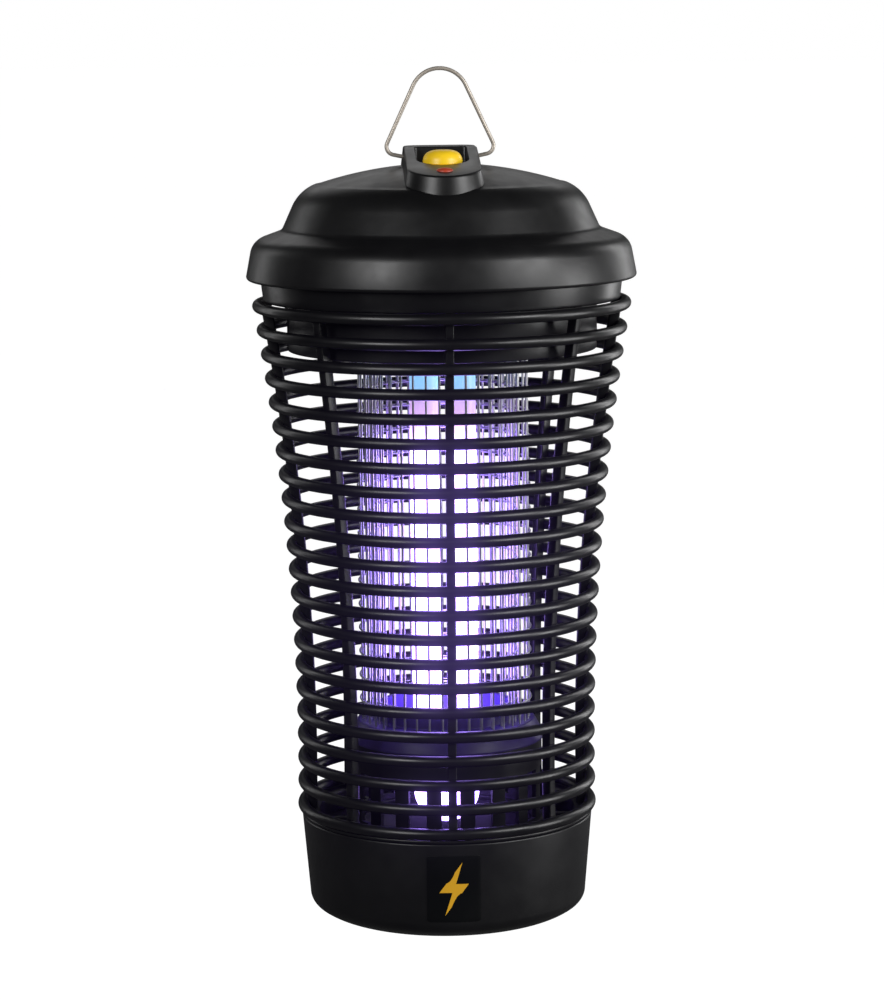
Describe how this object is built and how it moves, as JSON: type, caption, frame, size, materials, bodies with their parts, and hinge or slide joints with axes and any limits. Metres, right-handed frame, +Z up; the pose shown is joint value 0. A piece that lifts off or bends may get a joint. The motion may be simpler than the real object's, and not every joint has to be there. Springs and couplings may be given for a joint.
{
  "type": "electric bug zapper",
  "caption": "Hanging lantern-shaped electric insect killer: a ringed cage round a U-shaped lamp inside two wire grids, with a domed cover, push button, wire bail and pull-off tray.",
  "frame": {"origin": "middle of the underside of the tray, on the surface it stands on", "axes": "+Z up along the lamp; -Y is the front, where the button and label are; +X to the right seen from the front"},
  "size_m": [0.2348, 0.2348, 0.5155],
  "materials": {
    "cage_plastic": "satin, fine moulded grain",
    "cover_plastic": "satin, fine moulded grain",
    "tray_plastic": "satin, fine moulded grain",
    "housing_plastic": "semi-gloss",
    "label_film": "gloss film",
    "button_plastic": "gloss",
    "lens_plastic": "translucent gloss",
    "bail_steel": "drawn wire",
    "spring_steel": "drawn wire",
    "screw_steel": "zinc plated",
    "grid_steel": "bright wire",
    "terminal_brass": "satin",
    "gasket_rubber": "matt",
    "gland_rubber": "matt",
    "switch_plastic": "matt",
    "head_plastic": "satin",
    "insulator_plastic": "satin",
    "socket_plastic": "matt",
    "lamp_cap": "satin",
    "lamp_glass": "phosphor-coated, lit",
    "core_steel": "varnished laminations",
    "coil_copper": "taped winding",
    "strap_steel": "zinc plated",
    "starter_can": "satin",
    "board_laminate": "solder resist",
    "standoff_nylon": "matt",
    "component_case": "gloss",
    "wire_sleeve": "matt"
  },
  "bodies": {
    "body": {"cage_rings": "cage_plastic", "cage_ribs": "cage_plastic", "cage_collar": "cage_plastic", "cage_foot": "cage_plastic", "top_cover": "cover_plastic", "cover_gasket": "gasket_rubber", "cover_screws": "screw_steel", "switch_housing": "housing_plastic", "button_spring": "spring_steel", "push_switch": "switch_plastic", "indicator_lens": "lens_plastic", "cord_gland": "gland_rubber", "head_plate": "head_plastic", "lamp_socket": "socket_plastic", "lamp_base": "lamp_cap", "lamp_tube": "lamp_glass", "upper_insulator": "insulator_plastic", "lower_insulator": "insulator_plastic", "lamp_skirt": "cage_plastic", "outer_grid": "grid_steel", "inner_grid": "grid_steel", "grid_terminals": "terminal_brass", "ballast_core": "core_steel", "ballast_coil": "coil_copper", "ballast_strap": "strap_steel", "strap_screws": "screw_steel", "lamp_starter": "starter_can", "starter_holder": "socket_plastic", "circuit_board": "board_laminate", "board_standoffs": "standoff_nylon", "board_capacitors": "component_case", "wiring": "wire_sleeve"},
    "tray": {"collection_tray": "tray_plastic", "front_label": "label_film"},
    "bail": {"hanger_bail": "bail_steel"},
    "button": {"power_button": "button_plastic"}
  },
  "joints": [
    {"name": "bail_swing", "type": "hinge", "parent": "body", "child": "bail", "pos_m": [0, 0, 0.4623], "axis": [1, 0, 0], "range_deg": [-95, 80]},
    {"name": "button_press", "type": "slide", "parent": "body", "child": "button", "axis": [0, 0, -1], "range_m": [0, 0.002], "stiffness_N_per_m": 500, "springref_m": -0.002, "deforming": ["button_spring"]},
    {"name": "tray_slide", "type": "slide", "parent": "body", "child": "tray", "axis": [0, 0, -1], "range_m": [0, 0.06]}
  ]
}
